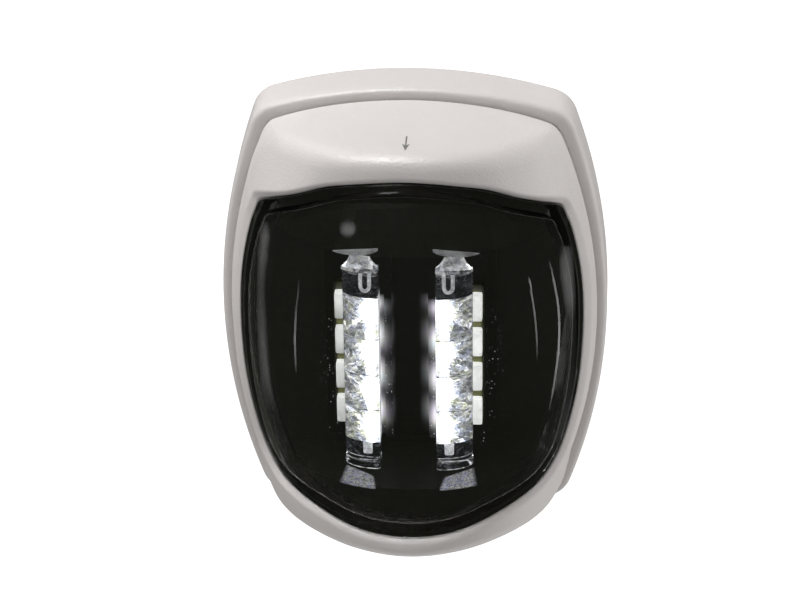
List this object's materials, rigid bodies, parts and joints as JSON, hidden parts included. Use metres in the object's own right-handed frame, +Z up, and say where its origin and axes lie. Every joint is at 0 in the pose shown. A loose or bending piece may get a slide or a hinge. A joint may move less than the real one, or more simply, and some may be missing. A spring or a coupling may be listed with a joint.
{
  "type": "navigation light",
  "caption": "Compact wall-mounted boat navigation light with a clear D-shaped lens over LED columns, in a light unit that plugs into a shallow mounting base.",
  "frame": {"origin": "on the wall plane at the back of the mounting base, on the centreline at mid height", "axes": "+Z up, +Y out of the back of the base into the wall, the light faces -Y, +X to the right seen from the front"},
  "size_m": [0.065, 0.0339, 0.0824],
  "materials": {
    "white_shell": "fine-textured satin white",
    "rubber_black": "matt",
    "clear_lens": "clear, polished",
    "clear_optic": "clear, polished",
    "black_plastic": "satin black",
    "black_anodised": "black anodised, satin",
    "led_laminate": "olive solder mask",
    "led_package": "white, lit",
    "driver_laminate": "green solder mask",
    "epoxy_black": "moulded epoxy",
    "ferrite": "sintered grey",
    "aluminium_can": "satin",
    "cream_plastic": "moulded",
    "stainless": "polished"
  },
  "bodies": {
    "base": {"mounting_base": "white_shell", "wall_gasket": "rubber_black"},
    "light_unit": {"housing": "white_shell", "skirt_seal": "rubber_black", "lens": "clear_lens", "lens_seal": "rubber_black", "inner_shroud": "black_plastic", "led_carrier": "black_anodised", "led_board_left": "led_laminate", "led_left_1": "led_package", "led_left_2": "led_package", "led_left_3": "led_package", "led_left_4": "led_package", "optic_bar_left": "clear_optic", "led_board_right": "led_laminate", "led_right_1": "led_package", "led_right_2": "led_package", "led_right_3": "led_package", "led_right_4": "led_package", "optic_bar_right": "clear_optic", "driver_board": "driver_laminate", "driver_chip": "epoxy_black", "inductor": "ferrite", "input_capacitor": "aluminium_can", "output_capacitor": "aluminium_can", "diode": "epoxy_black", "resistor_1": "epoxy_black", "resistor_2": "epoxy_black", "output_connector": "cream_plastic", "board_screw_1": "stainless", "board_screw_2": "stainless", "rear_cover": "black_plastic", "cover_seal": "rubber_black", "cover_screw_1": "stainless", "cover_screw_2": "stainless", "cover_screw_3": "stainless", "cover_screw_4": "stainless", "cable_gland": "rubber_black"}
  },
  "joints": [
    {"name": "unit_release", "type": "slide", "parent": "base", "child": "light_unit", "axis": [0, -1, 0], "range_m": [0, 0.03]}
  ]
}
